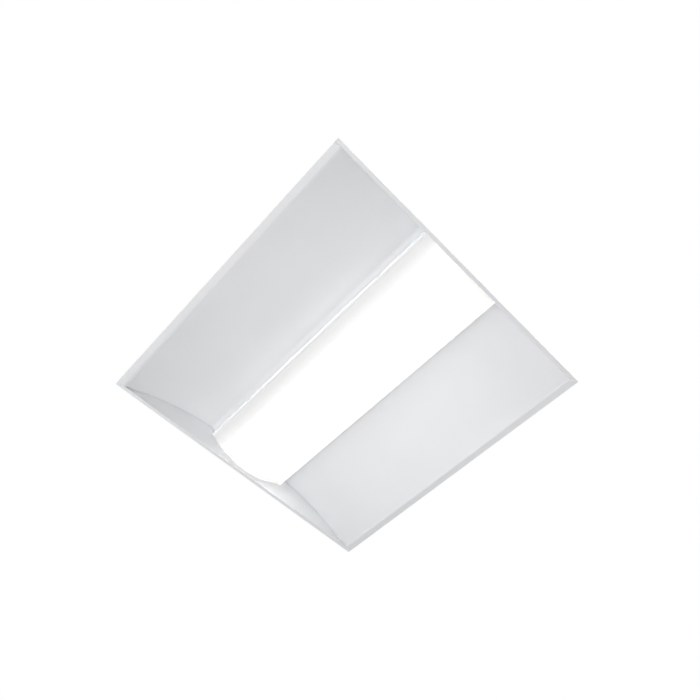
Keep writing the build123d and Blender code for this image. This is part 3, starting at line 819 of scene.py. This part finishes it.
@dataclass
class EdgeSeams:
    """Paint that closes the groove between each side flange and its wing, and the corner tabs."""

    walls: EndWalls = EndWalls()
    flange_x: float = 291.7 * MM
    wing_x: float = 288.3 * MM
    flange_z: float = 0.1 * MM
    wing_z: float = 0.32 * MM
    coat: float = 0.16 * MM
    end_gap: float = 0.5 * MM
    rim: float = 0.04 * MM
    tab_low: Vector = Vector((293.2, 286.5, 0.95)) * MM
    tab_high: Vector = Vector((301.0, 294.5, 1.75)) * MM
    tab_rim: float = 0.25 * MM
    weld_inset: float = 2.4 * MM
    weld_depth: float = 0.25 * MM
    faces_up: float = 0.5

    def seam(self, side: Side) -> bpy.types.Object:
        """Lays one paint seam.

        Args:
            side: Which side flange it follows.

        Returns:
            The seam.
        """
        sign = side.value
        half = self.walls.nose - self.end_gap
        name = f"seam_paint_{side.name.lower()}"
        bender = SheetBender(name, sign * self.flange_x, self.flange_z, half)
        bender.run(sign * (self.wing_x - self.flange_x), self.wing_z - self.flange_z)
        return bender.finish(self.coat, 0.0, self.rim)

    def tab(self, side: Side, end: End) -> bpy.types.Object:
        """Presses one corner tab that backs the open seam from above, with its weld mark.

        Args:
            side: Which side flange it lies on.
            end: Which end of the body it is at.

        Returns:
            The tab.
        """
        turn = Vector((side.value, end.value, 1))
        middle = (self.tab_low + self.tab_high) / 2 * turn
        piece = block(middle, self.tab_high - self.tab_low)
        piece.name = f"corner_tab_{side.name.lower()}_{end.name.lower()}"
        piece.data.name = piece.name
        bpy.ops.object.mode_set(mode="EDIT")
        bpy.ops.mesh.select_mode(type="FACE")
        bpy.ops.mesh.select_all(action="DESELECT")
        bpy.ops.object.mode_set(mode="OBJECT")
        for face in piece.data.polygons:
            face.select = face.normal.z > self.faces_up
        bpy.ops.object.mode_set(mode="EDIT")
        bpy.ops.mesh.inset(thickness=self.weld_inset)
        bpy.ops.transform.translate(value=(0, 0, -self.weld_depth))
        bpy.ops.object.mode_set(mode="OBJECT")
        return soften(piece, self.tab_rim)

    def make(self, finish: bpy.types.Material) -> None:
        """Builds and dresses the seams and tabs.

        Args:
            finish: Their material.
        """
        pieces = [self.seam(side) for side in Side]
        pieces += [self.tab(side, end) for side in Side for end in End]
        for piece in pieces:
            dress(piece, finish)
            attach(piece, ROOT_BODY)
            LOG.info("%s: %d faces", piece.name, len(piece.data.polygons))


@dataclass
class LensDoor:
    """The bowed lens with the notches at its corners."""

    walls: EndWalls = EndWalls()
    radius: float = 162.0 * MM
    thickness: float = 2.0 * MM
    rail_x: float = 88.2 * MM
    rail_z: float = 40.0 * MM
    notch_radius: float = 3.1 * MM
    notch_length: float = 18.1 * MM
    notch_facets: int = 32
    end_gap: float = 1.0 * MM
    steps: int = 64
    rim: float = 0.25 * MM

    def bend(self) -> bpy.types.Object:
        """Bends the lens in the place of its CAD node and notches its corners.

        Returns:
            The lens.
        """
        low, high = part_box("lens")
        centre_z = low.z + self.radius
        half_turn = math.asin(self.rail_x / (self.radius - self.thickness / 2))
        start_x = -self.radius * math.sin(half_turn)
        start_z = centre_z - self.radius * math.cos(half_turn)
        bender = SheetBender("lens_shell", start_x, start_z, high.y)
        bender.bend(0, centre_z, -2 * half_turn, self.steps)
        piece = bender.trim(self.walls, self.end_gap).finish(self.thickness, -1.0, self.rim)
        corner_y = self.walls.foot - self.walls.slope * self.rail_z - self.end_gap
        places = [
            Vector((side.value * self.rail_x, end.value * corner_y, self.rail_z))
            for side in Side
            for end in End
        ]
        length = 2 * self.notch_length
        facets = self.notch_facets
        cut_away(piece, [rod(place, self.notch_radius, length, facets) for place in places])
        return piece

    def make(self, finish: bpy.types.Material) -> None:
        """Builds and dresses the lens.

        Args:
            finish: The lens's material.
        """
        piece = self.bend()
        dress(piece, finish)
        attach(piece, DOOR_BODY)
        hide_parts("lens")
        LOG.info("%s: %d faces", piece.name, len(piece.data.polygons))


# ---------------------------------------------------------------- stage


@dataclass(frozen=True)
class Lamp:
    """A square soft lamp that faces the object."""

    name: str
    energy: float
    size: float
    place: Triple

    def hang(self) -> None:
        """Hangs the lamp."""
        data = bpy.data.lights.new(self.name, "AREA")
        data.energy = self.energy
        data.size = self.size
        lamp = bpy.data.objects.new(self.name, data)
        bpy.context.scene.collection.objects.link(lamp)
        lamp.location = self.place
        lamp.rotation_euler = (-Vector(self.place)).to_track_quat("-Z", "Y").to_euler()


@dataclass
class Studio:
    """White surroundings, a pale floor, soft lamps and the camera."""

    floor_z: float = -2.6
    floor_size: float = 40.0
    floor_lift: float = 0.5
    floor_pattern: tuple[float, float] = (0.8, 3.0)
    floor_dark: Colour = (0.86, 0.86, 0.86)
    floor_light: Colour = (0.9, 0.9, 0.9)
    floor_roughness: float = 0.8
    ambient: float = 0.2
    ambient_tint: Colour = (0.985, 0.992, 1.0)
    lamps: tuple[Lamp, ...] = (
        Lamp("left_near_lamp", 3.9, 1.0, (-1.015, 0.0, -0.812)),
        Lamp("left_lamp", 18.2, 1.8, (-2.048, 0.0, -1.434)),
        Lamp("right_lamp", 11.4, 1.8, (2.048, 0.0, -1.434)),
        Lamp("far_lamp", 5.4, 1.8, (0.0, 2.048, -1.434)),
        Lamp("near_lamp", 6.0, 1.8, (0.0, -2.048, -1.434)),
        Lamp("under_lamp", 5.5, 1.8, (0.0, 0.0, -2.5)),
        Lamp("top_lamp", 50.0, 1.8, (0.7, -0.9, 2.4)),
    )
    lens_mm: float = 29.54
    sensor_mm: float = 36.0
    nearest: float = 0.01
    farthest: float = 100.0
    eye: Triple = (-0.350449, -0.405590, -0.914263)
    right: Triple = (0.71910617, -0.69457547, 0.02124218)
    down: Triple = (0.62565033, 0.63383872, -0.45476383)
    forward: Triple = (0.30240369, 0.34031366, 0.89035871)

    def camera(self) -> None:
        """Stands the camera where the photograph was taken from."""
        data = bpy.data.cameras.new("camera")
        data.lens = self.lens_mm
        data.sensor_width = self.sensor_mm
        data.clip_start = self.nearest
        data.clip_end = self.farthest
        camera = bpy.data.objects.new("camera", data)
        bpy.context.scene.collection.objects.link(camera)
        axes = (Vector(self.right), -Vector(self.down), -Vector(self.forward))
        turn = Matrix(axes).transposed().to_4x4()
        camera.matrix_world = Matrix.Translation(self.eye) @ turn
        bpy.context.scene.camera = camera

    def world(self) -> None:
        """Even light, seen as white by the camera, by mirrors and through glass."""
        world = bpy.data.worlds.new("studio")
        bpy.context.scene.world = world
        world.use_nodes = True
        tree = world.node_tree
        tree.nodes.clear()
        output = tree.nodes.new("ShaderNodeOutputWorld")
        path = tree.nodes.new("ShaderNodeLightPath")
        seen = tree.nodes.new("ShaderNodeMath")
        seen.operation = "MAXIMUM"
        tree.links.new(path.outputs["Is Camera Ray"], seen.inputs[0])
        tree.links.new(path.outputs["Is Glossy Ray"], seen.inputs[1])
        shown = tree.nodes.new("ShaderNodeMath")
        shown.operation = "MAXIMUM"
        tree.links.new(seen.outputs["Value"], shown.inputs[0])
        tree.links.new(path.outputs["Is Transmission Ray"], shown.inputs[1])
        light = tree.nodes.new("ShaderNodeBackground")
        light.inputs["Color"].default_value = (*self.ambient_tint, 1.0)
        light.inputs["Strength"].default_value = self.ambient
        white = tree.nodes.new("ShaderNodeBackground")
        white.inputs["Color"].default_value = (*WHITE_LIGHT, 1.0)
        white.inputs["Strength"].default_value = 1.0
        mix = tree.nodes.new("ShaderNodeMixShader")
        tree.links.new(shown.outputs["Value"], mix.inputs["Fac"])
        tree.links.new(light.outputs["Background"], mix.inputs[1])
        tree.links.new(white.outputs["Background"], mix.inputs[2])
        tree.links.new(mix.outputs["Shader"], output.inputs["Surface"])

    def floor(self) -> None:
        """A pale floor far below, where a room's floor would be."""
        bpy.ops.object.select_all(action="DESELECT")
        bpy.ops.mesh.primitive_plane_add(size=self.floor_size, location=(0, 0, self.floor_z))
        ground = bpy.context.object
        ground.name = "floor"
        book = NodeBook("floor_paint")
        stops = ((PATTERN_LOW, self.floor_dark), (PATTERN_HIGH, self.floor_light))
        book.paint(book.noise(*self.floor_pattern), stops)
        book.shader.inputs["Roughness"].default_value = self.floor_roughness
        path = book.tree.nodes.new("ShaderNodeLightPath")
        lift = book.tree.nodes.new("ShaderNodeMath")
        lift.operation = "MULTIPLY"
        lift.inputs[1].default_value = self.floor_lift
        book.link(path.outputs["Is Camera Ray"], lift.inputs[0])
        book.link(lift.outputs["Value"], book.shader.inputs["Emission Strength"])
        book.shader.inputs["Emission Color"].default_value = (*WHITE_LIGHT, 1.0)
        dress(ground, book.material)

    def make(self) -> None:
        """Sets up the whole stage."""
        bpy.context.scene.view_settings.view_transform = "Standard"
        self.camera()
        self.world()
        for lamp in self.lamps:
            lamp.hang()
        self.floor()


# ---------------------------------------------------------------- finishes by slot

LENS_HALF_WIDTH = 88.8 * MM
LENS_HALF_LENGTH = 293.6 * MM
# Painted light: the rails are no lamp. Their glow, faint on the left and bright on the right,
# stands in for light on the wing lip beside the lens.
RAIL_PAINTED_GLOW_LEFT: Colour = (0.16, 0.16, 0.16)
RAIL_PAINTED_GLOW_RIGHT: Colour = (0.9, 0.885, 0.86)
BOARD_GLOW: Colour = (1.0, 0.99, 0.97)
SHEATH_BLACK: Colour = (0.02, 0.02, 0.02)

FINISHES = {
    "white_enamel": Enamel("white_enamel_coat", (0.805, 0.812, 0.826)),
    # Painted light: the rail finish glows by its place across the lens, brighter on the right
    # side.
    "rail_plastic": GlowWithPaintedLight(
        "rail_painted_glow",
        (0.74, 0.745, 0.75),
        half_width=LENS_HALF_WIDTH,
        half_length=LENS_HALF_LENGTH,
        strength=1.0,
        glow=((0.0, RAIL_PAINTED_GLOW_LEFT), (0.9, RAIL_PAINTED_GLOW_LEFT), (0.97, RAIL_PAINTED_GLOW_RIGHT)),
    ),
    "pin_steel": Zinc("pin_bright", (0.6, 0.6, 0.61), roughness=0.25),
    "spring_steel": Zinc(
        "spring_strip", (0.52, 0.53, 0.55), roughness=0.3, spangle=400.0, contrast=0.06
    ),
    "board_white": Moulded("board_mask", (0.80, 0.81, 0.80), roughness=0.3),
    "emitter_phosphor": Phosphor(
        "emitter_face", (0.9, 0.72, 0.25), glow=(1.0, 0.93, 0.8), strength=2.0
    ),
    "connector_nylon": Moulded("connector_body", (0.8, 0.78, 0.7)),
    "rivet_aluminium": Zinc(
        "rivet_bright", (0.76, 0.77, 0.78), roughness=0.3, spangle=600.0, contrast=0.05
    ),
    "driver_case": Zinc(
        "driver_can", (0.62, 0.63, 0.64), roughness=0.42, spangle=120.0, contrast=0.1
    ),
    "zinc_screw": Zinc(
        "screw_plate", (0.66, 0.67, 0.68), roughness=0.3, spangle=700.0, contrast=0.05
    ),
    "ground_green": Enamel("ground_dye", (0.04, 0.26, 0.08), roughness=0.35),
    "block_plastic": Moulded("block_body", (0.62, 0.63, 0.63)),
    "supply_insulation": LeadColours(
        "supply_colours",
        stops=(
            (0.0, SHEATH_BLACK),
            (0.33, (0.8, 0.8, 0.78)),
            (0.66, (0.03, 0.3, 0.08)),
            (1.0, SHEATH_BLACK),
        ),
        low_x=117.0 * MM,
        high_x=163.0 * MM,
    ),
    "lamp_insulation": Moulded("lamp_lead_skin", (0.45, 0.03, 0.02), roughness=0.3),
    "grommet_rubber": Moulded("grommet_black", (0.02, 0.02, 0.02), roughness=0.6),
    "galvanised": Zinc("galvanised_sheet", (0.6, 0.62, 0.64)),
    # Real backlight from the boards, with painted shade: the dim left flank, the dimmer right edge
    # and the dim ends stand in for shading.
    "lens_acrylic": GlowWithPaintedLight(
        "lens_glow_painted_shade",
        (0.62, 0.62, 0.61),
        half_width=LENS_HALF_WIDTH,
        half_length=LENS_HALF_LENGTH,
        strength=7.0,
        glow=(
            (0.0, (0.031, 0.031, 0.031)),
            (0.063, (0.038, 0.038, 0.038)),
            (0.103, (0.047, 0.047, 0.047)),
            (0.15, (0.062, 0.062, 0.062)),
            (0.25, BOARD_GLOW),
            (0.93, BOARD_GLOW),
            (1.0, (0.6, 0.594, 0.58)),
        ),
        end_glow_painted_shade=(
            (0.0, (0.057, 0.056, 0.053)),
            (0.08, (0.1, 0.098, 0.094)),
            (0.3, WHITE_LIGHT),
        ),
    ),
}


# ---------------------------------------------------------------- main


def main() -> None:
    """Builds the object in order."""
    logging.basicConfig(level=logging.INFO, format="%(name)s %(message)s")
    Studio().make()
    finishes = {slot: finish.material() for slot, finish in FINISHES.items()}
    Ironwork(frame["nodes"], frame["record"]["subparts"]).make(finishes)
    Wings().make(finishes["white_enamel"])
    EdgeSeams().make(finishes["white_enamel"])
    LensDoor().make(finishes["lens_acrylic"])


if __name__ == "__main__":
    main()
